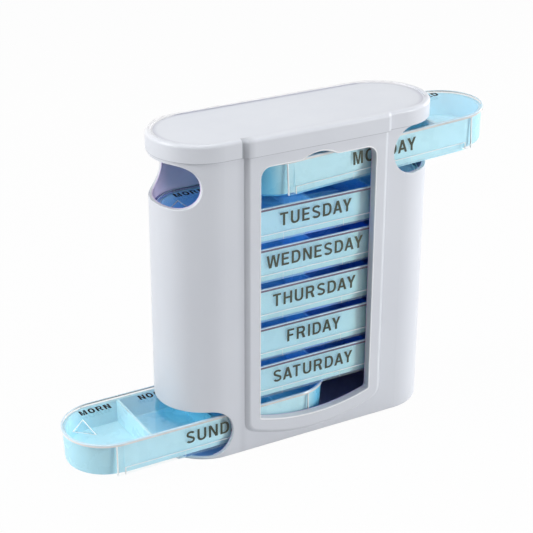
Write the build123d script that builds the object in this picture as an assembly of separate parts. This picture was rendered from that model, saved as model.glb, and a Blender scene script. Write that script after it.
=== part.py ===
from build123d import *
import math
import os

# Weekly pill tower: a stadium-plan shell with a windowed front panel, a lift-off cap, and seven stacked
# trays of four compartments, each with a clear lid that slides along its flanks.
# X runs along the trays, -Y is the window side, +Z is up; the origin is the centre of the base.

# Shell
body_length = 115.0
body_depth = 38.0
body_height = 120.7
wall = 1.6
floor_thickness = 1.2
base_edge_radius = 0.8

# Raised front panel, set in from both ends of the shell
panel_setback = 26.9
panel_rise = 1.6
panel_side_angle = 45.0
panel_low_point = 2.8
panel_arc_radius = 73.0
panel_corner_radius = 5.0
panel_edge_radius = 1.2
panel_crease_radius = 1.0

# Window in the front panel
window_border = 6.1
window_top_border = 4.7
window_low_point = 10.0
window_arc_radius = 80.0
window_top_radius = 4.0
window_low_radius = 1.5
window_edge_radius = 0.5
scallop_width = 15.0
scallop_height = 2.2
scallop_blend_radius = 3.0

# Ports through the ends of the shell
low_port_reach = 22.0
low_port_room = 3.3
finger_port_reach = 11.1
finger_port_room = 0.6
finger_port_top_border = 1.4
high_port_reach = 23.8
port_edge_radius = 0.3

# Cap
cap_overhang = 0.65
cap_height = 6.9
cap_seam_gap = 0.1
cap_top_thickness = 2.1
cap_rim_width = 2.2
cap_recess_depth = 0.6
cap_edge_radius = 1.4
cap_recess_radius = 0.4
neck_step = 0.8
neck_height = 4.2
cap_fit = 0.08

# Tray and lid
lid_end_gap = 1.1
lid_bore_gap = 0.25
lid_thickness = 1.1
lid_edge_radius = 0.35
lid_end_overhang = 0.5
lid_seat_gap = 0.15
skirt_setback = 13.8
skirt_thickness = 0.75
skirt_gap = 0.15
lip_height = 2.9
lip_depth = 0.8
lip_end_setback = 3.0
lip_gap = 0.12
arrow_length = 7.5
arrow_half_width = 7.0
arrow_line = 0.7
arrow_depth = 0.3
arrow_from_end = 3.0
tray_draft = 2.6
tray_wall = 1.1
tray_floor = 1.1
tray_edge_radius = 0.8
divider_thickness = 1.0
compartments = 4
end_compartment_extra = 0.8
foot_height = 2.7
foot_setback = 6.5
foot_wall = 1.2
slide_gap = 0.1
head_room = 5.8

# Poses shown at rest
sunday_offset = -42.0
monday_offset = 30.3
monday_tilt = 2.9
monday_travel_out = 20.0

# Sizes that follow from the ones above
days = ["sunday", "saturday", "friday", "thursday", "wednesday", "tuesday", "monday"]
middle_days = days[1:-1]
bore_length = body_length - 2 * wall
bore_depth = body_depth - 2 * wall
bore_end_centre = (body_length - body_depth) / 2
front_face = body_depth / 2
panel_width = body_length - 2 * panel_setback
window_width = panel_width - 2 * window_border
window_top = body_height - window_top_border
stack_height = body_height - head_room - floor_thickness - 3 * slide_gap
stack_pitch = stack_height / len(days)
lid_underside = stack_pitch - lid_thickness
tray_height = lid_underside - lid_seat_gap - foot_height
lid_length = bore_length - 2 * lid_end_gap
lid_width = bore_depth - 2 * lid_bore_gap
skirt_length = lid_length - 2 * skirt_setback
skirt_inner = lid_width / 2 - skirt_thickness
tray_length = lid_length - 2 * lid_end_overhang
tray_width = 2 * (skirt_inner - skirt_gap)
tray_straight = tray_length - tray_width
foot_length = tray_length - 2 * foot_setback
foot_width = tray_width - 2 * foot_setback
hollow_length = tray_length - 2 * tray_wall
compartment_pitch = (hollow_length - 2 * end_compartment_extra) / compartments
half_lip = skirt_length / 2 - lip_end_setback
ledge = skirt_inner - lip_depth - lip_gap
ledge_top = foot_height + lip_height + lip_gap
compartment_floor = ledge_top + lip_gap
sunday_level = floor_thickness + slide_gap
saturday_level = sunday_level + stack_pitch + slide_gap
monday_level = saturday_level + len(middle_days) * stack_pitch + slide_gap
cap_base = body_height + cap_seam_gap
cap_top = cap_base + cap_height
low_port_top = floor_thickness + stack_pitch + low_port_room
finger_port_top = body_height - finger_port_top_border
finger_port_bottom = finger_port_top - stack_pitch - finger_port_room


def monday_place():
    # The left end of the foot lies on the lid below, and the right end is tipped up over the port's sill.
    tilt = math.radians(monday_tilt)
    lift = foot_length / 2 * math.sin(tilt)
    return Location((monday_offset, 0, monday_level + lift), (0, -monday_tilt, 0))


def high_port_sill():
    # Height of the tipped foot over the end wall when the tray is pulled fully out, less the running gap.
    tilt = math.radians(monday_tilt)
    foot_left_end = monday_offset + monday_travel_out - foot_length / 2 * math.cos(tilt)
    wall_at_foot = bore_end_centre + math.sqrt((bore_depth / 2) ** 2 - (foot_width / 2) ** 2)
    return monday_level - slide_gap + (wall_at_foot - foot_left_end) * math.tan(tilt)


def stadium(length, width, height, base=0.0):
    return extrude(Pos(0, 0, base) * SlotOverall(length, width), amount=height)


def block(x_range, y_range, z_range):
    size = [abs(high - low) for low, high in (x_range, y_range, z_range)]
    centre = [(high + low) / 2 for low, high in (x_range, y_range, z_range)]
    return Pos(*centre) * Box(*size)


def arched_outline(width, low_point, arc_radius, top):
    # A rectangle whose lower edge sags along an arc, drawn in the XZ plane.
    middle = (low_point + top) / 2
    frame = Pos(0, middle) * Rectangle(width, top - low_point)
    arc = Pos(0, low_point + arc_radius) * Circle(arc_radius)
    return frame & arc


def lower_corners(outline, top):
    return [v for v in outline.vertices() if v.Y < top / 2]


def front_panel():
    outline = arched_outline(panel_width, panel_low_point, panel_arc_radius, body_height)
    outline = fillet(lower_corners(outline, body_height), panel_corner_radius)
    flat = Plane.XZ.offset(front_face) * outline
    raised = extrude(flat, amount=panel_rise, taper=panel_side_angle)
    root = extrude(flat, amount=-wall)
    top_trim = block((-panel_width, panel_width), (-body_depth, 0), (body_height, body_height + wall))
    return raised + root - top_trim


def panel_root_to_top():
    # The taper also leans the panel's top edge back, so a straight strip carries its face up to the seam.
    narrowing = panel_rise * math.tan(math.radians(panel_side_angle))
    plan = Polyline(
        (-panel_width / 2, -front_face),
        (-panel_width / 2 + narrowing, -front_face - panel_rise),
        (panel_width / 2 - narrowing, -front_face - panel_rise),
        (panel_width / 2, -front_face),
        close=True,
    )
    strip_height = body_height / 4
    return extrude(Pos(0, 0, body_height - strip_height) * make_face(plan), amount=strip_height)


def window_outline():
    outline = arched_outline(window_width, window_low_point, window_arc_radius, window_top)
    low = lower_corners(outline, window_top)
    outline = fillet(low, window_low_radius)
    top = [v for v in outline.vertices() if v.Y > window_top - 1e-3]
    outline = fillet(top, window_top_radius)
    half = scallop_width / 2
    scallop_radius = (half**2 + scallop_height**2) / (2 * scallop_height)
    crown = Pos(0, window_top + scallop_height - scallop_radius) * Circle(scallop_radius)
    above = Pos(0, window_top + scallop_height / 2) * Rectangle(scallop_width * 2, scallop_height)
    outline = outline + (crown & above)
    joins = [v for v in outline.vertices() if abs(v.Y - window_top) < 1e-3 and abs(v.X) < scallop_width]
    return fillet(joins, scallop_blend_radius)


def window_cutter():
    depth = front_face + panel_rise + wall
    return extrude(Plane.XZ.offset(front_face + panel_rise + wall) * window_outline(), amount=-depth)


def port_cutter(side, reach, bottom, top):
    # A slot through the whole end of the shell, with a half-round inner end.
    radius = (top - bottom) / 2
    inner_end = body_length / 2 - reach
    middle = (bottom + top) / 2
    centre = inner_end + radius
    outer = body_length / 2 + wall
    nose = Pos(side * centre, 0, middle) * Rot(90, 0, 0) * Cylinder(radius, body_depth * 2)
    xs = sorted((side * centre, side * outer))
    mouth = block(xs, (-body_depth, body_depth), (bottom, top))
    return nose + mouth


def on_skin(edge):
    # True where the whole edge lies on the outer surface of the shell's stadium wall.
    for part_way in (0, 0.25, 0.5, 0.75, 1):
        point = edge.position_at(part_way)
        past_centre = max(abs(point.X) - bore_end_centre, 0)
        if abs(math.hypot(past_centre, point.Y) - front_face) > 0.01:
            return False
    return True


def port_rim(shell, side, reach, bottom, top):
    # The port's edges on the outer skin, without the skin's own upright joins and top edge.
    inner_end = body_length / 2 - reach
    rim = []
    for edge in shell.edges():
        box = edge.bounding_box()
        upright = box.size.X < 0.01 and box.size.Y < 0.01
        in_reach = side * edge.center().X > inner_end - 0.01
        in_height = bottom - 0.01 < box.min.Z < body_height - 0.01 and box.max.Z < top + 0.01
        if in_reach and in_height and not upright and on_skin(edge):
            rim.append(edge)
    return rim


def window_rim(shell):
    face = -front_face - panel_rise
    rim = []
    for edge in shell.edges():
        box = edge.bounding_box()
        in_height = window_low_point - 0.01 < box.min.Z and box.max.Z < window_top + scallop_height + 0.01
        if box.max.Y < face + 0.01 and abs(edge.center().X) < window_width / 2 + 0.01 and in_height:
            rim.append(edge)
    return rim


def housing_shell():
    body = stadium(body_length, body_depth, body_height)
    body = body + front_panel() + panel_root_to_top()
    front_edges = [
        e
        for e in body.edges()
        if e.bounding_box().max.Y < -front_face - panel_rise + 1e-3 and e.bounding_box().min.Z < body_height - 1
    ]
    body = fillet(front_edges, panel_edge_radius)
    base_edges = [e for e in body.edges() if e.bounding_box().max.Z < 1e-3]
    body = fillet(base_edges, base_edge_radius)
    neck = stadium(body_length - 2 * neck_step, body_depth - 2 * neck_step, neck_height, body_height)
    bore_height = body_height + neck_height - floor_thickness
    bore = stadium(bore_length, bore_depth, bore_height, floor_thickness)
    shell = body + neck - bore - window_cutter()
    shell = fillet(window_rim(shell), window_edge_radius)
    ports = [
        (-1, low_port_reach, floor_thickness, low_port_top),
        (-1, finger_port_reach, finger_port_bottom, finger_port_top),
        (1, high_port_reach, high_port_sill(), body_height),
    ]
    for port in ports:
        shell = shell - port_cutter(*port)
        shell = fillet(port_rim(shell, *port), port_edge_radius)
    return shell


def cap_outline():
    narrowing = panel_rise * math.tan(math.radians(panel_side_angle))
    front = front_face + cap_overhang
    half = panel_width / 2 + cap_overhang
    plan = Polyline(
        (-half, -front + wall),
        (-half, -front),
        (-half + narrowing, -front - panel_rise),
        (half - narrowing, -front - panel_rise),
        (half, -front),
        (half, -front + wall),
        close=True,
    )
    outline = SlotOverall(body_length + 2 * cap_overhang, body_depth + 2 * cap_overhang) + make_face(plan)
    outer = [v for v in outline.vertices() if v.Y < -front - panel_rise + 1e-3]
    outline = fillet(outer, panel_edge_radius)
    inner = [v for v in outline.vertices() if abs(v.Y + front) < 1e-3 and abs(v.X) < half + 1e-3]
    return fillet(inner, panel_crease_radius)


def top_cap():
    cap = extrude(Pos(0, 0, cap_base) * cap_outline(), amount=cap_height)
    top_edges = [e for e in cap.edges() if e.bounding_box().min.Z > cap_top - 1e-3]
    cap = fillet(top_edges, cap_edge_radius)
    recess_length = body_length + 2 * cap_overhang - 2 * cap_rim_width
    recess_width = body_depth + 2 * cap_overhang - 2 * cap_rim_width
    cap = cap - stadium(recess_length, recess_width, cap_recess_depth, cap_top - cap_recess_depth)
    recess_edges = [
        e
        for e in cap.edges()
        if e.bounding_box().min.Z > cap_top - 0.01
        and e.bounding_box().max.Y < recess_width / 2 + 0.01
        and e.bounding_box().min.Y > -recess_width / 2 - 0.01
        and abs(e.center().X) < recess_length / 2
    ]
    cap = fillet(recess_edges, cap_recess_radius)
    socket_length = body_length - 2 * neck_step + 2 * cap_fit
    socket_width = body_depth - 2 * neck_step + 2 * cap_fit
    socket_height = cap_height - cap_recess_depth - cap_top_thickness
    return cap - stadium(socket_length, socket_width, socket_height, cap_base)


def tapered_stadium(length, width, height, top):
    # Widest at the top, narrowing downwards by the moulding draft.
    outline = Pos(0, 0, top) * SlotOverall(length, width)
    return extrude(outline, amount=height, dir=(0, 0, -1), taper=tray_draft)


def compartment_walls():
    count = compartments - 1
    return [compartment_pitch * (i - (count - 1) / 2) for i in range(count)]


def tray():
    rim = foot_height + tray_height
    body = tapered_stadium(tray_length, tray_width, tray_height, rim)
    low_edges = [e for e in body.edges() if e.bounding_box().max.Z < foot_height + 1e-3]
    body = fillet(low_edges, tray_edge_radius)
    half_straight = tray_straight / 2
    body = body + block((-half_straight, half_straight), (-tray_width / 2, tray_width / 2), (foot_height, rim))
    for side in (-1, 1):
        ys = sorted((side * ledge, side * tray_width))
        body = body - block((-tray_length / 2, half_lip + lip_gap), ys, (0, ledge_top))
    depth = rim - compartment_floor
    hollow = tapered_stadium(hollow_length, tray_width - 2 * tray_wall, depth, rim)
    for x in compartment_walls():
        hollow = hollow - block(
            (x - divider_thickness / 2, x + divider_thickness / 2), (-tray_width, tray_width), (0, rim)
        )
    foot = stadium(foot_length, foot_width, foot_height)
    pocket = stadium(foot_length - 2 * foot_wall, foot_width - 2 * foot_wall, compartment_floor - tray_floor)
    return body + foot - pocket - hollow


def arrow_groove():
    tip = -lid_length / 2 + arrow_from_end
    base = tip + arrow_length
    outer = Polyline((tip, 0), (base, arrow_half_width), (base, -arrow_half_width), close=True)
    shape = make_face(outer)
    inner = offset(shape, -arrow_line)
    top = lid_underside + lid_thickness
    return extrude(Pos(0, 0, top - arrow_depth) * (shape - inner), amount=arrow_depth)


def lid():
    top = lid_underside + lid_thickness
    plate = stadium(lid_length, lid_width, lid_thickness, lid_underside)
    rim_edges = [e for e in plate.edges() if e.bounding_box().min.Z > top - 1e-3]
    plate = fillet(rim_edges, lid_edge_radius)
    skirt_zone = stadium(lid_length, lid_width, lid_underside - foot_height, foot_height)
    half_skirt = skirt_length / 2
    skirts = skirt_zone & block(
        (-half_skirt, half_skirt), (-lid_width, lid_width), (foot_height, lid_underside)
    )
    skirts = skirts - block(
        (-half_skirt, half_skirt), (-skirt_inner, skirt_inner), (foot_height, lid_underside)
    )
    lid_body = plate + skirts - arrow_groove()
    for side in (-1, 1):
        ys = sorted((side * (skirt_inner - lip_depth), side * (skirt_inner + skirt_thickness / 2)))
        lid_body = lid_body + block((-half_lip, half_lip), ys, (foot_height, foot_height + lip_height))
    return lid_body


def save(solid, node):
    solid.label = node
    export_step(solid, os.path.join("parts", node + ".step"))


def day_places():
    places = {"sunday": Location((sunday_offset, 0, sunday_level))}
    for i, day in enumerate(middle_days):
        places[day] = Location((0, 0, saturday_level + i * stack_pitch))
    places["monday"] = monday_place()
    return places


os.makedirs("parts", exist_ok=True)
save(housing_shell(), "housing_shell")
save(top_cap(), "top_cap")
one_tray = tray()
one_lid = lid()
for day, place in day_places().items():
    save(place * one_tray, "tray_" + day)
    save(place * one_lid, "lid_" + day)
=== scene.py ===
import math
import bpy
import bmesh
from mathutils import Matrix, Vector


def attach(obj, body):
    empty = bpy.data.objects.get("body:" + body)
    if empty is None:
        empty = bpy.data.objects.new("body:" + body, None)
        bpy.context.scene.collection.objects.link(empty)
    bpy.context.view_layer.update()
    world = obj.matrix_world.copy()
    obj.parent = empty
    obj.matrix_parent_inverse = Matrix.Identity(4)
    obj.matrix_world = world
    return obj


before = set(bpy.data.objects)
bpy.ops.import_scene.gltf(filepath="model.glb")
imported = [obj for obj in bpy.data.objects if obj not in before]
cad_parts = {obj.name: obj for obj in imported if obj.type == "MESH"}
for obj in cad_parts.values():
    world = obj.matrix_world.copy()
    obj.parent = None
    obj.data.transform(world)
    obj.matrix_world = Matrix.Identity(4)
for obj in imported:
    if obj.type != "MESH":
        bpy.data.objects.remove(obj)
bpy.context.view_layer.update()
mm = 0.001

# How the trays stand in the tower, in millimetres and degrees
trayStack = {
    "days": ["sunday", "saturday", "friday", "thursday", "wednesday", "tuesday", "monday"],
    "firstLevel": 1.3,
    "pitch": 16.2,
    "runningGap": 0.1,
    "sundayShift": -42.0,
    "mondayShift": 30.3,
    "mondayTilt": 2.9,
    "footLength": 95.6,
}

# The faces that the words stand on: the lid's top above its tray's foot, and its side from the middle
lidSizes = {"top": 16.2, "side": 17.15}


def trayPlace(day):
    s = trayStack
    row = s["days"].index(day)
    level = s["firstLevel"] + row * s["pitch"]
    if row > 0:
        level += s["runningGap"]
    if day == "sunday":
        return Matrix.Translation(Vector((s["sundayShift"], 0, level)) * mm)
    if day == "monday":
        tilt = math.radians(s["mondayTilt"])
        lift = s["footLength"] / 2 * math.sin(tilt)
        at = Vector((s["mondayShift"], 0, level + s["runningGap"] + lift)) * mm
        return Matrix.Translation(at) @ Matrix.Rotation(-tilt, 4, "Y")
    return Matrix.Translation(Vector((0, 0, level)) * mm)


def bodyOfLid(day):
    return {"sunday": "sunday_lid", "monday": "monday_lid"}.get(day, "housing")


# Small tools for building node trees

def feed(tree, value, socket):
    # Links another node's output to the socket, or sets the socket to a plain value.
    if isinstance(value, bpy.types.NodeSocket):
        tree.links.new(value, socket)
    else:
        socket.default_value = value


def mathNode(tree, operation, *values):
    node = tree.nodes.new("ShaderNodeMath")
    node.operation = operation
    for value, socket in zip(values, node.inputs):
        feed(tree, value, socket)
    return node.outputs[0]


def product(tree, *factors):
    result = factors[0]
    for factor in factors[1:]:
        result = mathNode(tree, "MULTIPLY", result, factor)
    return result


def ramp(tree, value, start, full, low=0.0, high=1.0):
    # Runs from low at the start to high at `full`, and is level beyond both.
    node = tree.nodes.new("ShaderNodeMapRange")
    labels = ("Value", "From Min", "From Max", "To Min", "To Max")
    for label, number in zip(labels, (value, start, full, low, high)):
        feed(tree, number, node.inputs[label])
    return node.outputs["Result"]


def fadeAcross(tree, value, middle, full, none):
    # 1 where the value is within `full` of the middle, down to 0 at `none` away from it.
    away = mathNode(tree, "ABSOLUTE", mathNode(tree, "SUBTRACT", value, middle))
    return ramp(tree, away, full, none, 1.0, 0.0)


def mixColours(tree, factor, first, second):
    # Each colour is another node's output or three numbers.
    node = tree.nodes.new("ShaderNodeMix")
    node.data_type = "RGBA"
    tree.links.new(factor, node.inputs["Factor"])
    for colour, socket in ((first, node.inputs["A"]), (second, node.inputs["B"])):
        feed(tree, (*colour, 1) if isinstance(colour, tuple) else colour, socket)
    return node.outputs["Result"]


def mixShaders(tree, factor, first, second):
    mix = tree.nodes.new("ShaderNodeMixShader")
    feed(tree, factor, mix.inputs[0])
    tree.links.new(first.outputs[0], mix.inputs[1])
    tree.links.new(second.outputs[0], mix.inputs[2])
    return mix


def objectAxes(tree):
    parts = tree.nodes.new("ShaderNodeSeparateXYZ")
    tree.links.new(tree.nodes.new("ShaderNodeTexCoord").outputs["Object"], parts.inputs[0])
    return parts.outputs


def addGroup(name, inputs, outputs):
    # A group whose sockets are all plain numbers.
    group = bpy.data.node_groups.new(name, "ShaderNodeTree")
    for label, value in inputs.items():
        socket = group.interface.new_socket(name=label, in_out="INPUT", socket_type="NodeSocketFloat")
        socket.default_value = value
    for label in outputs:
        group.interface.new_socket(name=label, in_out="OUTPUT", socket_type="NodeSocketFloat")
    return group, group.nodes.new("NodeGroupInput").outputs, group.nodes.new("NodeGroupOutput").inputs


# The skin that all the plastics share. Sizes are noise scales, so a larger one is finer
skinInputs = {"Grain Size": 2200.0, "Wave Size": 55.0, "Wave Share": 0.5}
skinNoises = {  # each noise's scale, or the input that gives it, and its detail
    "grain": ("Grain Size", 2.0),
    "wave": ("Wave Size", 1.0),
    "cloud": (28.0, 3.0),
    "rub": (130.0, 4.0),
}
noiseSpan = (0.35, 0.65)  # where most of a noise's values lie
bumpDepth = 0.0002  # in metres


def makeMouldedSkin():
    # Fine grain, slow waviness, a faint cloudiness of colour and rubbed gloss, as on moulded plastic.
    group, given, result = addGroup("mouldedSkin", skinInputs, ["Height", "Tone", "Gloss"])
    coords = group.nodes.new("ShaderNodeTexCoord").outputs["Object"]
    noises = {}
    for name, (scale, detail) in skinNoises.items():
        noise = group.nodes.new("ShaderNodeTexNoise")
        noise.inputs["Detail"].default_value = detail
        group.links.new(coords, noise.inputs["Vector"])
        feed(group, given[scale] if scale in skinInputs else scale, noise.inputs["Scale"])
        noises[name] = noise.outputs["Fac"]
    height = mathNode(group, "ADD", noises["grain"], product(group, noises["wave"], given["Wave Share"]))
    group.links.new(height, result["Height"])
    group.links.new(noises["cloud"], result["Tone"])
    group.links.new(noises["rub"], result["Gloss"])
    return group


def makeStadiumMask():
    # 1 within a rounded oblong around the middle, 0 outside it, in the object's own coordinates.
    group, given, result = addGroup(
        "stadiumMask", {"Half Straight": 0.038, "Radius": 0.017, "Softness": 0.0004}, ["Inside"])
    axes = objectAxes(group)
    past = mathNode(group, "SUBTRACT", mathNode(group, "ABSOLUTE", axes["X"]), given["Half Straight"])
    past = mathNode(group, "MAXIMUM", past, 0.0)
    squares = [mathNode(group, "MULTIPLY", side, side) for side in (past, axes["Y"])]
    away = mathNode(group, "SQRT", mathNode(group, "ADD", *squares))
    inner = mathNode(group, "SUBTRACT", given["Radius"], given["Softness"])
    group.links.new(ramp(group, away, inner, given["Radius"], 1.0, 0.0), result["Inside"])
    return group


# Each finish. A plan is the half straight and the radius of a rounded oblong, and places are in metres
finishes = {
    "whiteShell": {
        "light": (0.685, 0.708, 0.756), "dark": (0.66, 0.683, 0.735), "rough": (0.34, 0.44),
        "bump": 0.05, "grain": 2600.0,
        # Painted shade on the inner faces, and a darker painted shade on the floor at the left
        "withinShade": (0.66, 0.57, 0.78), "withinPlan": (0.0385, 0.0179), "withinSpan": (0.0006, 0.1195),
        "floorShade": (0.11, 0.22, 0.46), "floorTop": 0.0014, "floorFade": (-0.022, -0.008),
        # The painted shade around the cap's recess, and painted light on the back of its rim
        "rimShade": (0.54, 0.55, 0.62), "rimPlan": (0.0377, 0.0176), "rimSoft": 0.0001, "rimWidth": 0.0018,
        "rimPaintedLight": (0.80, 0.80, 0.81), "rimFrom": 0.1262, "rimRise": (-0.004, 0.012),
        # Painted shade in the corner left of the panel, on the body and on the cap, and the line between
        # the two
        "creaseShade": (0.40, 0.42, 0.46), "creaseAt": -0.0315, "creaseDepth": -0.0178,
        "creaseWidth": 0.0022, "creaseShare": 0.22,
        "capCreaseFrom": -0.0317, "capCreaseWidth": 0.0046, "capCreaseShare": 0.85,
        "seam": (0.36, 0.37, 0.41), "seamHeight": 0.12072, "seamFade": (0.00012, 0.00028),
    },
    # The window rim's pale colour is a painted highlight on its rounded edge
    "windowRimHighlight": {"light": (0.90, 0.91, 0.93), "dark": (0.86, 0.87, 0.90), "rough": (0.3, 0.4)},
    "blueTray": {
        "light": (0.58, 0.91, 0.95), "dark": (0.56, 0.89, 0.94), "rough": (0.24, 0.32),
        "bump": 0.03, "grain": 1800.0, "bending": 1.49,
        # Painted shade on the ends and inner faces that lie in the shell
        "shelterShade": (0.25, 0.76, 0.99), "shelterAcross": (0.0135, 0.0158),
        "shelterMiddle": -0.010, "shelterAlong": (0.045, 0.058),
        "deep": (0.47, 0.85, 0.92), "glow": (0.12, 0.58, 0.94), "glowShare": 0.15,
        "lampTint": (0.85, 0.97, 0.99), "lampShare": 0.82,
    },
    "stackedTray": {
        "light": (0.53, 0.92, 0.90), "dark": (0.51, 0.90, 0.89), "rough": (0.24, 0.32),
        "bump": 0.03, "grain": 1800.0, "bending": 1.49,
        # Painted shade on the inner faces, deeper on those of the two right-hand compartments
        "withinShade": (0.33, 0.71, 0.88), "withinPlan": (0.03805, 0.01536),
        "farShade": (0.14, 0.40, 0.98), "farRise": (-0.0005, 0.0015),
        "deep": (0.05, 0.47, 0.86), "glow": (0.03, 0.48, 0.92), "glowShare": 0.24,
        "lampTint": (0.30, 0.75, 0.99), "lampShare": 1.0,
    },
    "clearLid": {
        "colour": (0.98, 0.98, 0.98), "rough": (0.012, 0.028), "bump": 0.01, "grain": 900.0,
        "clearness": 1.0, "bending": 1.05, "coat": 1.0, "gloss": 1.55, "coatRough": 0.02,
        "lampTint": (0.97, 0.97, 0.97), "lampShare": 1.0,
    },
    "dayInk": {"light": (0.085, 0.10, 0.075), "dark": (0.06, 0.075, 0.055), "rough": (0.38, 0.5),
               "shine": 0.2, "lampTint": (1, 1, 1), "lampShare": 0.85},
    "timeInk": {"light": (0.012, 0.012, 0.014), "dark": (0.006, 0.006, 0.008), "rough": (0.5, 0.6),
                "shine": 0.1, "lampTint": (1, 1, 1), "lampShare": 0.7},
    # The skirt beads' pale colour is a painted highlight
    "beadHighlight": {"light": (0.93, 0.97, 0.98), "dark": (0.90, 0.95, 0.97), "rough": (0.3, 0.42),
                    "bump": 0.04, "grain": 2000.0},
    # The lid's edge band as painted shade in the stack and a painted lit grey in the open (also lining the
    # arrow's groove), and the painted highlight on the rounded edge
    "edgeShade": {"light": (0.19, 0.155, 0.23), "dark": (0.13, 0.105, 0.16), "rough": (0.2, 0.3)},
    "edgeLitGrey": {"light": (0.88, 0.88, 0.86), "dark": (0.58, 0.58, 0.57), "rough": (0.2, 0.3)},
    "edgeHighlight": {"light": (0.62, 0.78, 0.88), "dark": (0.55, 0.73, 0.85), "rough": (0.2, 0.3)},
}
withinSoft = 0.00012  # the soft edge of the inner faces' tint


def newMaterial(name):
    material = bpy.data.materials.new(name)
    material.use_nodes = True
    tree = material.node_tree
    return material, tree, tree.nodes["Principled BSDF"], tree.nodes["Material Output"]


def placeSkin(tree, shader, values, skin):
    # Gloss and bump from the shared skin.
    look = tree.nodes.new("ShaderNodeGroup")
    look.node_tree = skin
    gloss = ramp(tree, look.outputs["Gloss"], *noiseSpan, *values["rough"])
    tree.links.new(gloss, shader.inputs["Roughness"])
    if "bump" in values:
        look.inputs["Grain Size"].default_value = values["grain"]
        bump = tree.nodes.new("ShaderNodeBump")
        bump.inputs["Strength"].default_value = values["bump"]
        bump.inputs["Distance"].default_value = bumpDepth
        tree.links.new(look.outputs["Height"], bump.inputs["Height"])
        tree.links.new(bump.outputs["Normal"], shader.inputs["Normal"])
    return look


def layColour(tree, shader, mask, colour):
    # Lays a colour over what the shader has so far.
    under = shader.inputs["Base Color"].links[0].from_socket
    tree.links.new(mixColours(tree, mask, under, colour), shader.inputs["Base Color"])


def stadium(tree, mask, plan, softness):
    node = tree.nodes.new("ShaderNodeGroup")
    node.node_tree = mask
    node.inputs["Half Straight"].default_value, node.inputs["Radius"].default_value = plan
    node.inputs["Softness"].default_value = softness
    return node.outputs["Inside"]


def paintShadeWithin(tree, shader, values, mask):
    # Painted shade on the inner faces: violet grey in the shell with dark blue on its floor at the left,
    # and a deeper blue in the stacked trays, deepest in their two right-hand compartments.
    axes = objectAxes(tree)
    inside = stadium(tree, mask, values["withinPlan"], withinSoft)
    if "withinSpan" in values:
        low, high = values["withinSpan"]
        inside = product(tree, inside, mathNode(tree, "GREATER_THAN", axes["Z"], low),
                         mathNode(tree, "LESS_THAN", axes["Z"], high))
    layColour(tree, shader, inside, values["withinShade"])
    if "floorShade" in values:
        onFloor = mathNode(tree, "LESS_THAN", axes["Z"], values["floorTop"])
        start, none = values["floorFade"]
        atLeft = ramp(tree, axes["X"], start, none, 1.0, 0.0)
        layColour(tree, shader, product(tree, inside, onFloor, atLeft), values["floorShade"])
    if "farShade" in values:
        far = product(tree, inside, ramp(tree, axes["X"], *values["farRise"]))
        layColour(tree, shader, far, values["farShade"])


def paintShelterShade(tree, shader, values):
    # Painted shade: the ends and inner faces are bluer where the tray lies in the shell, out of the open
    # light.
    axes = objectAxes(tree)
    inner = fadeAcross(tree, axes["Y"], 0.0, *values["shelterAcross"])
    inShell = fadeAcross(tree, axes["X"], values["shelterMiddle"], *values["shelterAlong"])
    layColour(tree, shader, product(tree, inner, inShell), values["shelterShade"])


def shadeShell(tree, shader, values, mask):
    axes = objectAxes(tree)
    onCap = mathNode(tree, "GREATER_THAN", axes["Z"], values["seamHeight"])
    onBody = mathNode(tree, "LESS_THAN", axes["Z"], values["seamHeight"])

    # The soft shade along the inside of the cap's rim
    recess = stadium(tree, mask, values["rimPlan"], values["rimSoft"])
    ring = mathNode(tree, "SUBTRACT", recess, stadium(tree, mask, values["rimPlan"], values["rimWidth"]))
    layColour(tree, shader, product(tree, ring, onCap), values["rimShade"])

    # Painted light: the top of the rim, lighter towards the back
    rim = product(tree, mathNode(tree, "SUBTRACT", 1.0, recess),
                  mathNode(tree, "GREATER_THAN", axes["Z"], values["rimFrom"]),
                  ramp(tree, axes["Y"], *values["rimRise"]))
    layColour(tree, shader, rim, values["rimPaintedLight"])

    # The shade in the corner beside the panel, and beside the cap's step above it
    front = mathNode(tree, "LESS_THAN", axes["Y"], values["creaseDepth"])
    corner = fadeAcross(tree, axes["X"], values["creaseAt"], 0.0, values["creaseWidth"])
    corner = product(tree, corner, onBody, values["creaseShare"])
    capCorner = fadeAcross(tree, axes["X"], values["creaseAt"], 0.0, values["capCreaseWidth"])
    rightOfIt = mathNode(tree, "GREATER_THAN", axes["X"], values["capCreaseFrom"])
    capCorner = product(tree, rightOfIt, capCorner, onCap, values["capCreaseShare"])
    both = product(tree, mathNode(tree, "ADD", corner, capCorner), front)
    layColour(tree, shader, both, values["creaseShade"])

    # The dark line under the cap
    seam = fadeAcross(tree, axes["Z"], values["seamHeight"], *values["seamFade"])
    layColour(tree, shader, seam, values["seam"])


def letLampsThrough(tree, shader, output, values):
    # Rays from lamps pass, tinted, so that what lies behind the plastic is lit.
    path = tree.nodes.new("ShaderNodeLightPath")
    clear = tree.nodes.new("ShaderNodeBsdfTransparent")
    clear.inputs["Color"].default_value = (*values["lampTint"], 1)
    passing = product(tree, path.outputs["Is Shadow Ray"], values["lampShare"])
    tree.links.new(mixShaders(tree, passing, shader, clear).outputs[0], output.inputs["Surface"])


def glowFromBehind(tree, shader, values):
    # Light that has already bounced inside the trays comes back in the deep tint of the plastic.
    path = tree.nodes.new("ShaderNodeLightPath")
    layColour(tree, shader, path.outputs["Is Diffuse Ray"], values["deep"])
    glow = tree.nodes.new("ShaderNodeBsdfTranslucent")
    glow.inputs["Color"].default_value = (*values["glow"], 1)
    return mixShaders(tree, values["glowShare"], shader, glow)


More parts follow.
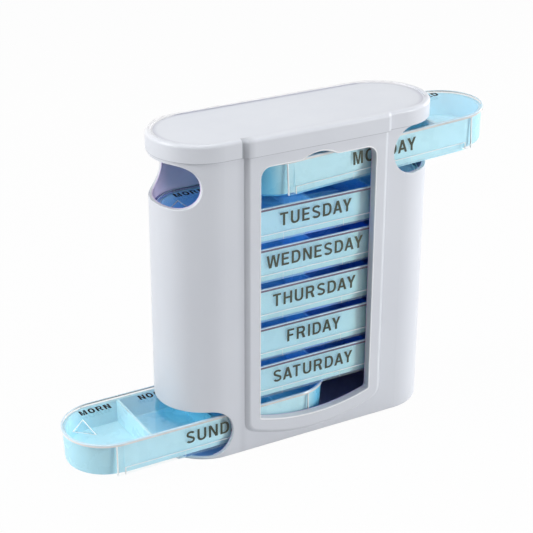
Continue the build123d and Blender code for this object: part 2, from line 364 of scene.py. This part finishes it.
def makePlastic(name, skin, mask):
    values = finishes[name]
    material, tree, shader, output = newMaterial(name)
    look = placeSkin(tree, shader, values, skin)
    tone = ramp(tree, look.outputs["Tone"], *noiseSpan)
    tree.links.new(mixColours(tree, tone, values["dark"], values["light"]), shader.inputs["Base Color"])
    for key, label in (("shine", "Specular IOR Level"), ("bending", "IOR")):
        if key in values:
            shader.inputs[label].default_value = values[key]
    if "withinShade" in values:
        paintShadeWithin(tree, shader, values, mask)
    if "shelterShade" in values:
        paintShelterShade(tree, shader, values)
    if "seam" in values:
        shadeShell(tree, shader, values, mask)
    surface = glowFromBehind(tree, shader, values) if "glow" in values else shader
    if "lampTint" in values:
        letLampsThrough(tree, surface, output, values)
    return material


def makeClearLid(skin):
    # Next to no bending, so the thin edges stay pale, with the gloss of clear plastic as a coat.
    values = finishes["clearLid"]
    material, tree, shader, output = newMaterial("clearLid")
    shader.inputs["Base Color"].default_value = (*values["colour"], 1)
    for key, label in (("clearness", "Transmission Weight"), ("bending", "IOR"), ("coat", "Coat Weight"),
                       ("gloss", "Coat IOR"), ("coatRough", "Coat Roughness")):
        shader.inputs[label].default_value = values[key]
    placeSkin(tree, shader, values, skin)
    letLampsThrough(tree, shader, output, values)
    return material


mouldedSkin, stadiumMask = makeMouldedSkin(), makeStadiumMask()
materials = {name: makePlastic(name, mouldedSkin, stadiumMask) for name in finishes if name != "clearLid"}
materials["clearLid"] = makeClearLid(mouldedSkin)
for node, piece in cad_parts.items():
    finish = "whiteShell"
    if node.startswith("tray_"):
        finish = "blueTray" if node.endswith(("sunday", "monday")) else "stackedTray"
    elif node.startswith("lid_"):
        finish = "clearLid"
    for materialSlot in piece.material_slots:
        materialSlot.material = materials[finish]
print("finishes on", len(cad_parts), "pieces")


# Small tools for making pieces

def evaluatedMesh(thing):
    # What an object's curve or modifiers come to, as a plain mesh. The object itself is removed.
    bpy.context.scene.collection.objects.link(thing)
    bpy.context.view_layer.update()
    mesh = bpy.data.meshes.new_from_object(thing.evaluated_get(bpy.context.evaluated_depsgraph_get()))
    bpy.data.objects.remove(thing)
    return mesh


def meshFrom(work, name, *finishNames):
    mesh = bpy.data.meshes.new(name)
    work.to_mesh(mesh)
    work.free()
    for finishName in finishNames:
        mesh.materials.append(materials[finishName])
    return mesh


def addPiece(name, mesh, body):
    piece = bpy.data.objects.new(name, mesh)
    bpy.context.scene.collection.objects.link(piece)
    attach(piece, body)
    return piece


# The printed words: plain heavy letters drawn here on a cap height of 1
letterCut = {"stem": 0.18, "bar": 0.155, "gap": 0.21, "curveSteps": 9, "roundness": 2.3,
             "bandHalf": 0.082}
closePairs = {"AY": 0.03, "DA": 0.11, "AT": 0.04, "SA": 0.13, "WE": 0.13, "EV": 0.12, "VE": 0.12}


def bend(centre, radii, start, end):
    # Points along a slightly squared ellipse, from one angle in degrees to another.
    points = []
    steps = letterCut["curveSteps"] * max(1, round(abs(end - start) / 90))
    for i in range(steps + 1):
        angle = math.radians(start + (end - start) * i / steps)
        c, s = math.cos(angle), math.sin(angle)
        power = 2 / letterCut["roundness"]
        points.append((centre[0] + radii[0] * math.copysign(abs(c) ** power, c),
                       centre[1] + radii[1] * math.copysign(abs(s) ** power, s)))
    return points


def ribbon(path, half):
    # The outline of a stroke that follows a path.
    left, right = [], []
    for i, (x, y) in enumerate(path):
        before, after = path[max(i - 1, 0)], path[min(i + 1, len(path) - 1)]
        across = Vector((before[1] - after[1], after[0] - before[0])).normalized() * half
        left.append((x + across.x, y + across.y))
        right.append((x - across.x, y - across.y))
    return left + right[::-1]


def letterRings(letter, bold):
    # Outline first, then any holes, and the letter's width. A stem is s wide and a bar b high.
    s, b = letterCut["stem"] * bold, letterCut["bar"] * bold
    if letter == "I":
        return [[(0, 0), (s, 0), (s, 1), (0, 1)]], s
    if letter == "T":
        left, right = 0.33 - s / 2, 0.33 + s / 2
        return [[(0, 1), (0, 1 - b), (left, 1 - b), (left, 0), (right, 0), (right, 1 - b),
                 (0.66, 1 - b), (0.66, 1)]], 0.66
    if letter == "E":
        return [[(0, 0), (0.61, 0), (0.61, b), (s, b), (s, 0.44), (0.56, 0.44), (0.56, 0.44 + b),
                 (s, 0.44 + b), (s, 1 - b), (0.60, 1 - b), (0.60, 1), (0, 1)]], 0.61
    if letter == "F":
        return [[(0, 0), (s, 0), (s, 0.41), (0.51, 0.41), (0.51, 0.41 + b), (s, 0.41 + b),
                 (s, 1 - b), (0.58, 1 - b), (0.58, 1), (0, 1)]], 0.58
    if letter == "H":
        return [[(0, 0), (s, 0), (s, 0.43), (0.71 - s, 0.43), (0.71 - s, 0), (0.71, 0), (0.71, 1),
                 (0.71 - s, 1), (0.71 - s, 0.43 + b), (s, 0.43 + b), (s, 1), (0, 1)]], 0.71
    if letter == "N":
        k = 1.08 * s
        return [[(0, 0), (s, 0), (s, 0.68), (0.72 - k, 0), (0.72, 0), (0.72, 1), (0.72 - s, 1),
                 (0.72 - s, 0.32), (k, 1), (0, 1)]], 0.72
    if letter == "M":
        k = 0.95 * s
        return [[(0, 0), (k, 0), (k, 0.78), (0.32, 0), (0.48, 0), (0.80 - k, 0.78), (0.80 - k, 0),
                 (0.80, 0), (0.80, 1), (0.55, 1), (0.40, 0.30), (0.25, 1), (0, 1)]], 0.80
    if letter == "V":
        return [[(0, 1), (0.2, 1), (0.37, 0.24), (0.54, 1), (0.74, 1), (0.47, 0), (0.27, 0)]], 0.74
    if letter == "Y":
        left, right = 0.37 - s / 2, 0.37 + s / 2
        return [[(0, 1), (0.215, 1), (0.37, 0.62), (0.525, 1), (0.74, 1), (right, 0.4), (right, 0),
                 (left, 0), (left, 0.4)]], 0.74
    if letter == "A":
        return [[(0, 0), (0.19, 0), (0.255, 0.22), (0.525, 0.22), (0.59, 0), (0.78, 0), (0.49, 1),
                 (0.29, 1)], [(0.30, 0.37), (0.48, 0.37), (0.39, 0.69)]], 0.78
    if letter == "W":
        return [[(0, 1), (0.18, 1), (0.295, 0.30), (0.435, 1), (0.645, 1), (0.785, 0.30), (0.90, 1),
                 (1.08, 1), (0.89, 0), (0.69, 0), (0.54, 0.72), (0.39, 0), (0.19, 0)]], 1.08
    if letter == "O":
        return [bend((0.385, 0.5), (0.385, 0.51), 0, 360)[:-1],
                bend((0.385, 0.5), (0.385 - s, 0.51 - b), 0, 360)[:-1]], 0.77
    if letter == "D":
        return [[(0, 0), (0, 1)] + bend((0.34, 0.5), (0.38, 0.5), 90, -90),
                [(s, b), (s, 1 - b)] + bend((0.32, 0.5), (0.40 - s, 0.5 - b), 90, -90)], 0.72
    if letter == "U":
        return [[(0, 1)] + bend((0.355, 0.36), (0.355, 0.37), 180, 360) + [(0.71, 1), (0.71 - s, 1)]
                + bend((0.355, 0.37), (0.355 - s, 0.38 - b), 360, 180) + [(s, 1)]], 0.71
    if letter == "B":
        return [[(0, 0), (0, 1)] + bend((0.40, 0.745), (0.27, 0.255), 90, -50)
                + bend((0.42, 0.275), (0.29, 0.275), 55, -90),
                [(s, 0.59), (s, 1 - b)] + bend((0.38, 0.7175), (0.11, 0.1275), 90, -90),
                [(s, b), (s, 0.455)] + bend((0.40, 0.305), (0.13, 0.15), 90, -90)], 0.71
    if letter == "R":
        return [[(0, 0), (0, 1)] + bend((0.42, 0.71), (0.28, 0.29), 90, -60)
                + [(0.74, 0), (0.52, 0), (0.38, 0.41), (s, 0.41), (s, 0)],
                [(s, 0.56), (s, 1 - b)] + bend((0.39, 0.7025), (0.13, 0.1425), 90, -90)], 0.74
    # What is left is an S, a band along a path
    path = bend((0.33, 0.735), (0.245, 0.185), 18, 245) + bend((0.33, 0.265), (0.25, 0.185), 65, -162)
    return [ribbon(path, letterCut["bandHalf"])], 0.66


def wordRings(text, bold):
    # All rings of a word, set from x = 0, and its width.
    rings, x = [], 0.0
    for i, letter in enumerate(text):
        if i:
            x += closePairs.get(text[i - 1:i + 1], letterCut["gap"])
        shapes, width = letterRings(letter, bold)
        rings += [[(x + px, py) for px, py in ring] for ring in shapes]
        x += width
    return rings, x


printing = {
    "dayHeight": 5.1,
    "dayDrop": 5.45,
    "daySqueeze": 1.04,
    "dayShift": 0.85,
    "dayBold": 1.0,
    "timeBold": 1.28,
    "timeHeight": 3.5,
    "timeSqueeze": 0.98,
    "timeWords": ["MORN", "NOON", "EVE", "BED"],
    "timeStarts": [-44.0, -19.2, 8.0, 35.9],
    "timeAcross": 10.6,
    "thickness": 0.03,
    "weld": 1e-5,
}


def wordMesh(text, height, squeeze, bold):
    # One word as a thin flat mesh, from x = 0 and with its middle on y = 0, in millimetres.
    rings, width = wordRings(text, bold)
    curve = bpy.data.curves.new("word", "CURVE")
    curve.dimensions = "2D"
    curve.fill_mode = "BOTH"
    for ring in rings:
        spline = curve.splines.new("POLY")
        spline.points.add(len(ring) - 1)
        for point, (x, y) in zip(spline.points, ring):
            point.co = (x * height * squeeze, (y - 0.5) * height, 0, 1)
        spline.use_cyclic_u = True
    flat = evaluatedMesh(bpy.data.objects.new("word", curve))
    work = bmesh.new()
    work.from_mesh(flat)
    bpy.data.meshes.remove(flat)
    bmesh.ops.remove_doubles(work, verts=work.verts, dist=printing["weld"])
    grown = bmesh.ops.extrude_face_region(work, geom=work.faces[:])
    raised = [e for e in grown["geom"] if isinstance(e, bmesh.types.BMVert)]
    bmesh.ops.translate(work, verts=raised, vec=(0, 0, printing["thickness"]))
    bmesh.ops.recalc_face_normals(work, faces=work.faces[:])
    return work, width * height * squeeze


def addWord(target, text, size, place, share, slot):
    # The word starts at the place, or a share of its own width before it.
    work, width = wordMesh(text, *size)
    work.transform(place @ Matrix.Translation((-share * width, 0, 0)))
    work.transform(Matrix.Scale(mm, 4))
    for face in work.faces:
        face.material_index = slot
    part = meshFrom(work, "part")
    target.from_mesh(part)
    bpy.data.meshes.remove(part)


def makePrinting(day):
    p = printing
    target = bmesh.new()
    middle = Matrix.Translation((p["dayShift"], -lidSizes["side"], lidSizes["top"] - p["dayDrop"]))
    onFront = middle @ Matrix.Rotation(math.radians(90), 4, "X")
    addWord(target, day.upper(), (p["dayHeight"], p["daySqueeze"], p["dayBold"]), onFront, 0.5, 0)
    for text, start in zip(p["timeWords"], p["timeStarts"]):
        onTop = Matrix.Translation((start, p["timeAcross"], lidSizes["top"]))
        addWord(target, text, (p["timeHeight"], p["timeSqueeze"], p["timeBold"]), onTop, 0.0, 1)
    target.transform(trayPlace(day))
    mesh = meshFrom(target, "printing_" + day, "dayInk", "timeInk")
    return addPiece("printing_" + day, mesh, bodyOfLid(day))


words = [makePrinting(day) for day in trayStack["days"]]
print("printing on", len(words), "lids")


# The moulded beads on each lid's skirts: a long rail, its two end bars, small ticks and the skirt's ends,
# coloured pale as a painted highlight
skirtTrim = {
    "railLength": 76.0,
    "railHeight": 5.6,
    "skirtBottom": 2.75,
    "railBead": 0.15,
    "tickSpacing": 26.2,
    "tickBead": 0.06,
    "endSpacing": 82.0,
    "endTop": 15.2,
    "endBead": 0.34,
    "side": 17.1,
    "endSide": 16.72,
    "barBead": 0.22,
}
beadSides = 10


def floatInput(group, label, value):
    socket = group.interface.new_socket(name=label, in_out="INPUT", socket_type="NodeSocketFloat")
    socket.default_value = value
    return socket.identifier


def makeTrimTree():
    group = bpy.data.node_groups.new("skirtTrim", "GeometryNodeTree")
    group.interface.new_socket(name="Geometry", in_out="INPUT", socket_type="NodeSocketGeometry")
    ids = {key: floatInput(group, key, value * mm) for key, value in skirtTrim.items()}
    finish = group.interface.new_socket(name="finish", in_out="INPUT", socket_type="NodeSocketMaterial")
    ids["finish"] = finish.identifier
    group.interface.new_socket(name="Geometry", in_out="OUTPUT", socket_type="NodeSocketGeometry")
    nodes, links = group.nodes, group.links
    given = nodes.new("NodeGroupInput").outputs
    out = nodes.new("NodeGroupOutput")

    def point(x, y, z):
        node = nodes.new("ShaderNodeCombineXYZ")
        for value, socket in zip((x, y, z), node.inputs):
            feed(group, value, socket)
        return node.outputs[0]

    def bead(start, end, radius):
        line = nodes.new("GeometryNodeCurvePrimitiveLine")
        links.new(point(*start), line.inputs["Start"])
        links.new(point(*end), line.inputs["End"])
        ring = nodes.new("GeometryNodeCurvePrimitiveCircle")
        ring.inputs["Resolution"].default_value = beadSides
        links.new(radius, ring.inputs["Radius"])
        tube = nodes.new("GeometryNodeCurveToMesh")
        links.new(line.outputs["Curve"], tube.inputs["Curve"])
        links.new(ring.outputs["Curve"], tube.inputs["Profile Curve"])
        tube.inputs["Fill Caps"].default_value = True
        return tube.outputs["Mesh"]

    front, endFront = (product(group, given[key], -1.0) for key in ("side", "endSide"))
    low, high = given["skirtBottom"], given["railHeight"]
    left, right = (product(group, given["railLength"], share) for share in (-0.5, 0.5))
    pieces = [bead((left, front, high), (right, front, high), given["railBead"])]
    upright = (("railLength", "barBead", front, high), ("tickSpacing", "tickBead", front, high),
               ("endSpacing", "endBead", endFront, given["endTop"]))
    for share in (-0.5, 0.5):
        for length, radius, y, top in upright:
            x = product(group, given[length], share)
            pieces.append(bead((x, y, low), (x, y, top), given[radius]))
    oneSide = nodes.new("GeometryNodeJoinGeometry")
    for piece in pieces:
        links.new(piece, oneSide.inputs[0])
    turned = nodes.new("GeometryNodeTransform")
    turned.inputs["Rotation"].default_value = (0, 0, math.pi)
    links.new(oneSide.outputs[0], turned.inputs["Geometry"])
    both = nodes.new("GeometryNodeJoinGeometry")
    links.new(oneSide.outputs[0], both.inputs[0])
    links.new(turned.outputs[0], both.inputs[0])
    smooth = nodes.new("GeometryNodeSetShadeSmooth")
    links.new(both.outputs[0], smooth.inputs[0])
    real = nodes.new("GeometryNodeRealizeInstances")
    links.new(smooth.outputs[0], real.inputs[0])
    dressed = nodes.new("GeometryNodeSetMaterial")
    links.new(real.outputs[0], dressed.inputs["Geometry"])
    links.new(given["finish"], dressed.inputs["Material"])
    links.new(dressed.outputs[0], out.inputs[0])
    return group, ids


def makeTrim(day, group, ids):
    holder = bpy.data.objects.new("holder", bpy.data.meshes.new("holder"))
    modifier = holder.modifiers.new("trim", "NODES")
    modifier.node_group = group
    for key, value in skirtTrim.items():
        modifier[ids[key]] = value * mm
    modifier[ids["finish"]] = materials["beadHighlight"]
    mesh = evaluatedMesh(holder)
    mesh.name = "trim_" + day
    mesh.transform(trayPlace(day))
    return addPiece("trim_" + day, mesh, bodyOfLid(day))


# The lines of each lid's plate: the band where one looks into its thickness, painted shade in the stack
# and a painted lit grey in the open, the pale rounded edge above it as a painted highlight, and the
# arrow's groove lined in the lit grey
plateLines = {
    "halfStraight": 37.65,
    "radius": 17.15,
    "halfLength": 54.8,
    "arcSteps": 48,
    "band": [(-0.10, 15.12), (0.03, 15.12), (0.03, 15.87), (-0.10, 15.87)],
    "paleEdge": [(0.02, 15.90), (-0.09, 16.12), (-0.34, 16.215), (-0.72, 16.215), (-0.72, 16.18),
                 (-0.30, 16.10), (-0.12, 15.96)],
    "arrow": [(-51.8, 0.0), (-44.3, -7.0), (-44.3, 7.0)],
    "arrowLine": (0.18, 0.50),
    "arrowLow": 15.90,
    "arrowHigh": 15.96,
}


def addLoop(work, profiles, slot):
    # Closes a ring of profiles, each a short loop of points, into a tube.
    rows = [[work.verts.new(point) for point in profile] for profile in profiles]
    for row, following in zip(rows, rows[1:] + rows[:1]):
        for k in range(len(row)):
            after = (k + 1) % len(row)
            face = work.faces.new((row[k], following[k], following[after], row[after]))
            face.material_index = slot


def aroundPlate(profile):
    # The profile's points are distances out from the plate's side, and heights.
    values = plateLines
    rings = []
    for side in (1, -1):
        for i in range(values["arcSteps"] + 1):
            angle = math.radians(-90 + 180 * i / values["arcSteps"]) + (0 if side > 0 else math.pi)
            c, s = math.cos(angle), math.sin(angle)
            ring = []
            for out, z in profile:
                reach = values["radius"] + out
                x = side * values["halfStraight"] + reach * c
                ring.append((max(-values["halfLength"], min(values["halfLength"], x)), reach * s, z))
            rings.append(ring)
    return rings


def aroundArrow():
    corners = [Vector(corner) for corner in plateLines["arrow"]]
    sides = [(corners[(k + 2) % 3] - corners[(k + 1) % 3]).length for k in range(3)]
    centre = sum((corner * side for corner, side in zip(corners, sides)), Vector((0, 0))) / sum(sides)
    across = corners[1] - corners[0], corners[2] - corners[0]
    inner = abs(across[0].x * across[1].y - across[0].y * across[1].x) / sum(sides)
    outer, nearer = (1 - inset / inner for inset in plateLines["arrowLine"])
    low, high = plateLines["arrowLow"], plateLines["arrowHigh"]
    profile = ((outer, low), (outer, high), (nearer, high), (nearer, low))
    return [[(*(centre + (corner - centre) * share), z) for share, z in profile] for corner in corners]


def makePlateLines(day):
    work = bmesh.new()
    for slot, rings in enumerate((aroundPlate(plateLines["band"]), aroundPlate(plateLines["paleEdge"]),
                                  aroundArrow())):
        addLoop(work, rings, slot)
    bmesh.ops.recalc_face_normals(work, faces=work.faces[:])
    work.transform(Matrix.Scale(mm, 4))
    work.transform(trayPlace(day))
    # Painted light and shade: the band is a lit grey on the two open lids and dark shade on those in the
    # stack
    bandFinish = "edgeLitGrey" if day in ("sunday", "monday") else "edgeShade"
    mesh = meshFrom(work, "edge_" + day, bandFinish, "edgeHighlight", "edgeLitGrey")
    return addPiece("edge_" + day, mesh, bodyOfLid(day))


edges = [makePlateLines(day) for day in trayStack["days"]]
print("edge lines on", len(edges), "lids")
trimTree, trimSockets = makeTrimTree()
trims = [makeTrim(day, trimTree, trimSockets) for day in trayStack["days"]]
print("beads on", len(trims), "lids")


# The rounded rim around the window, along the window's outline, coloured paler than the shell as a painted
# highlight
windowRim = {
    "halfWidth": 24.5,
    "top": 116.0,
    "topRadius": 4.0,
    "lowPoint": 10.0,
    "lowArc": 80.0,
    "lowEnds": (0.4, 0.6),  # the foot's arc ends so far in from the side, and the side so far above it
    "scallopHalf": 7.5,
    "scallopHeight": 2.2,
    "scallopBlend": 3.0,
    "outside": 0.30,
    "bead": 0.30,
    "face": -20.6,
    "proud": 0.12,
    "sides": 10,
    "steps": {"corner": 12, "blend": 5, "crown": 20, "foot": 30},
}


def arcPoints(centre, radius, start, end, steps):
    angles = [math.radians(start + (end - start) * i / steps) for i in range(steps + 1)]
    return [Vector((centre[0] + radius * math.cos(a), centre[1] + radius * math.sin(a))) for a in angles]


def windowPath():
    w, steps = windowRim, windowRim["steps"]
    out, blend = w["outside"], w["scallopBlend"]
    half = w["halfWidth"] + out
    crown = (w["scallopHalf"] ** 2 + w["scallopHeight"] ** 2) / (2 * w["scallopHeight"])
    crownLow = w["top"] + w["scallopHeight"] - crown
    blendHigh = w["top"] + blend
    blendOut = math.sqrt((crown + blend) ** 2 - (blendHigh - crownLow) ** 2)
    lean = math.degrees(math.atan2(blendHigh - crownLow, blendOut))
    corner = (w["halfWidth"] - w["topRadius"], w["top"] - w["topRadius"])
    right = arcPoints(corner, w["topRadius"] + out, 0, 90, steps["corner"])
    right += arcPoints((blendOut, blendHigh), blend - out, -90, lean - 180, steps["blend"])
    crownArc = arcPoints((0, crownLow), crown + out, lean, 180 - lean, steps["crown"])[1:-1]
    left = [Vector((-p.x, p.y)) for p in reversed(right)]
    inset, lift = w["lowEnds"]
    lowRadius = w["lowArc"] + out
    swing = math.degrees(math.asin((half - inset) / lowRadius))
    low = arcPoints((0, w["lowPoint"] + w["lowArc"]), lowRadius, -90 - swing, -90 + swing, steps["foot"])
    ends = [Vector((-half, low[0].y + lift)), Vector((half, low[0].y + lift))]
    return right + crownArc + left + [ends[0]] + low + [ends[1]]


def makeWindowRim():
    w = windowRim
    path = windowPath()
    rings = []
    for i, p in enumerate(path):
        along = (path[(i + 1) % len(path)] - path[i - 1]).normalized()
        across = Vector((along.y, -along.x))
        ring = []
        for k in range(w["sides"]):
            angle = 2 * math.pi * k / w["sides"]
            flat = p + across * w["bead"] * math.cos(angle)
            ring.append((flat.x, w["face"] - w["proud"] + w["bead"] + w["bead"] * math.sin(angle), flat.y))
        rings.append(ring)
    work = bmesh.new()
    addLoop(work, rings, 0)
    bmesh.ops.recalc_face_normals(work, faces=work.faces[:])
    for face in work.faces:
        face.smooth = True
    work.transform(Matrix.Scale(mm, 4))
    return addPiece("window_rim", meshFrom(work, "window_rim", "windowRimHighlight"), "housing")


makeWindowRim()
print("rim around the window")


cameraView = {
    "azimuth": -29.70,
    "elevation": 24.53,
    "roll": 0.22,
    "distance": 0.57828,
    "focalPixels": 1506.28,
    "framePixels": 533,
    "sensor": 36.0,
    "lookAt": (-0.010505, 0.0, 0.066521),
    "seesFrom": 0.01,
    "seesTo": 20.0,
}


def makeCamera():
    v = cameraView
    az, el, roll = (math.radians(v[k]) for k in ("azimuth", "elevation", "roll"))
    back = Vector((math.sin(az) * math.cos(el), -math.cos(az) * math.cos(el), math.sin(el)))
    right = (-back).cross(Vector((0, 0, 1))).normalized()
    up = right.cross(-back)
    tiltedRight = right * math.cos(roll) + up * math.sin(roll)
    tiltedUp = up * math.cos(roll) - right * math.sin(roll)
    data = bpy.data.cameras.new("camera")
    data.sensor_width = v["sensor"]
    data.lens = v["focalPixels"] / v["framePixels"] * v["sensor"]
    data.clip_start, data.clip_end = v["seesFrom"], v["seesTo"]
    camera = bpy.data.objects.new("camera", data)
    bpy.context.scene.collection.objects.link(camera)
    turn = Matrix((tiltedRight, tiltedUp, back)).transposed().to_4x4()
    camera.matrix_world = Matrix.Translation(Vector(v["lookAt"]) + back * v["distance"]) @ turn
    bpy.context.scene.camera = camera


# Each lamp's bearing from the front, positive to the right, its height angle and distance
lamps = {
    "key": {"bearing": 45, "height": 12, "away": 0.90, "size": (0.20, 0.30), "watts": 4.75},
    "left": {"bearing": -100, "height": 28, "away": 0.80, "size": (0.30, 0.60), "watts": 4.75},
    "right": {"bearing": 100, "height": 10, "away": 0.80, "size": (0.25, 0.50), "watts": 2.55},
    "top": {"bearing": 0, "height": 86, "away": 0.85, "size": (0.60, 0.60), "watts": 3.35},
}
lampTarget = (0, 0, 0.06)


def makeLamps():
    middle = Vector(lampTarget)
    for name, values in lamps.items():
        data = bpy.data.lights.new(name, "AREA")
        data.shape = "RECTANGLE"
        data.size, data.size_y = values["size"]
        data.energy = values["watts"]
        lamp = bpy.data.objects.new(name, data)
        bpy.context.scene.collection.objects.link(lamp)
        bearing, height = (math.radians(values[k]) for k in ("bearing", "height"))
        level = math.cos(height)
        towards = Vector((math.sin(bearing) * level, -math.cos(bearing) * level, math.sin(height)))
        lamp.location = middle + values["away"] * towards
        # Their light already comes through the clear plastic, so rays bent by it need not find them too.
        lamp.visible_transmission = False
        lamp.rotation_mode = "QUATERNION"
        lamp.rotation_quaternion = (middle - lamp.location).to_track_quat("-Z", "Y")


room = {
    "ambient": (0.96, 0.97, 1.0),
    "ambientStrength": 0.15,
    "floorColour": (0.62, 0.62, 0.63),
    "floorRoughness": 0.9,
    "floorGlow": 0.97,
    "floorSize": 6.0,
}


def seenDirectly(tree):
    # 1 for rays that show the room itself: from the camera, in gloss and through glass. 0 for light that a
    # surface gathers through the glass, which has bounced off that surface.
    path = tree.nodes.new("ShaderNodeLightPath")
    some = mathNode(tree, "MAXIMUM", path.outputs["Is Camera Ray"], path.outputs["Is Glossy Ray"])
    some = mathNode(tree, "MAXIMUM", some, path.outputs["Is Transmission Ray"])
    return product(tree, some, mathNode(tree, "LESS_THAN", path.outputs["Diffuse Depth"], 0.5))


def makeWorld():
    world = bpy.data.worlds.new("room")
    bpy.context.scene.world = world
    world.use_nodes = True
    tree = world.node_tree
    ambient = tree.nodes["Background"]
    ambient.inputs["Color"].default_value = (*room["ambient"], 1)
    ambient.inputs["Strength"].default_value = room["ambientStrength"]
    white = tree.nodes.new("ShaderNodeBackground")
    white.inputs["Color"].default_value = (1, 1, 1, 1)
    white.inputs["Strength"].default_value = 1.0
    mix = mixShaders(tree, seenDirectly(tree), ambient, white)
    tree.links.new(mix.outputs[0], tree.nodes["World Output"].inputs["Surface"])


def makeFloor():
    material, tree, shader, output = newMaterial("floorPaper")
    shader.inputs["Base Color"].default_value = (*room["floorColour"], 1)
    shader.inputs["Roughness"].default_value = room["floorRoughness"]
    glow = tree.nodes.new("ShaderNodeEmission")
    glow.inputs["Color"].default_value = (1, 1, 1, 1)
    glow.inputs["Strength"].default_value = 1.0
    mix = mixShaders(tree, product(tree, seenDirectly(tree), room["floorGlow"]), shader, glow)
    tree.links.new(mix.outputs[0], output.inputs["Surface"])
    half = room["floorSize"] / 2
    corners = [(-half, -half, 0), (half, -half, 0), (half, half, 0), (-half, half, 0)]
    mesh = bpy.data.meshes.new("floor")
    mesh.from_pydata(corners, [], [(0, 1, 2, 3)])
    mesh.materials.append(material)
    floor = bpy.data.objects.new("floor", mesh)
    bpy.context.scene.collection.objects.link(floor)


makeCamera()
makeLamps()
makeWorld()
makeFloor()
bpy.context.scene.view_settings.view_transform = "Standard"
print("camera, lamps and room are up")
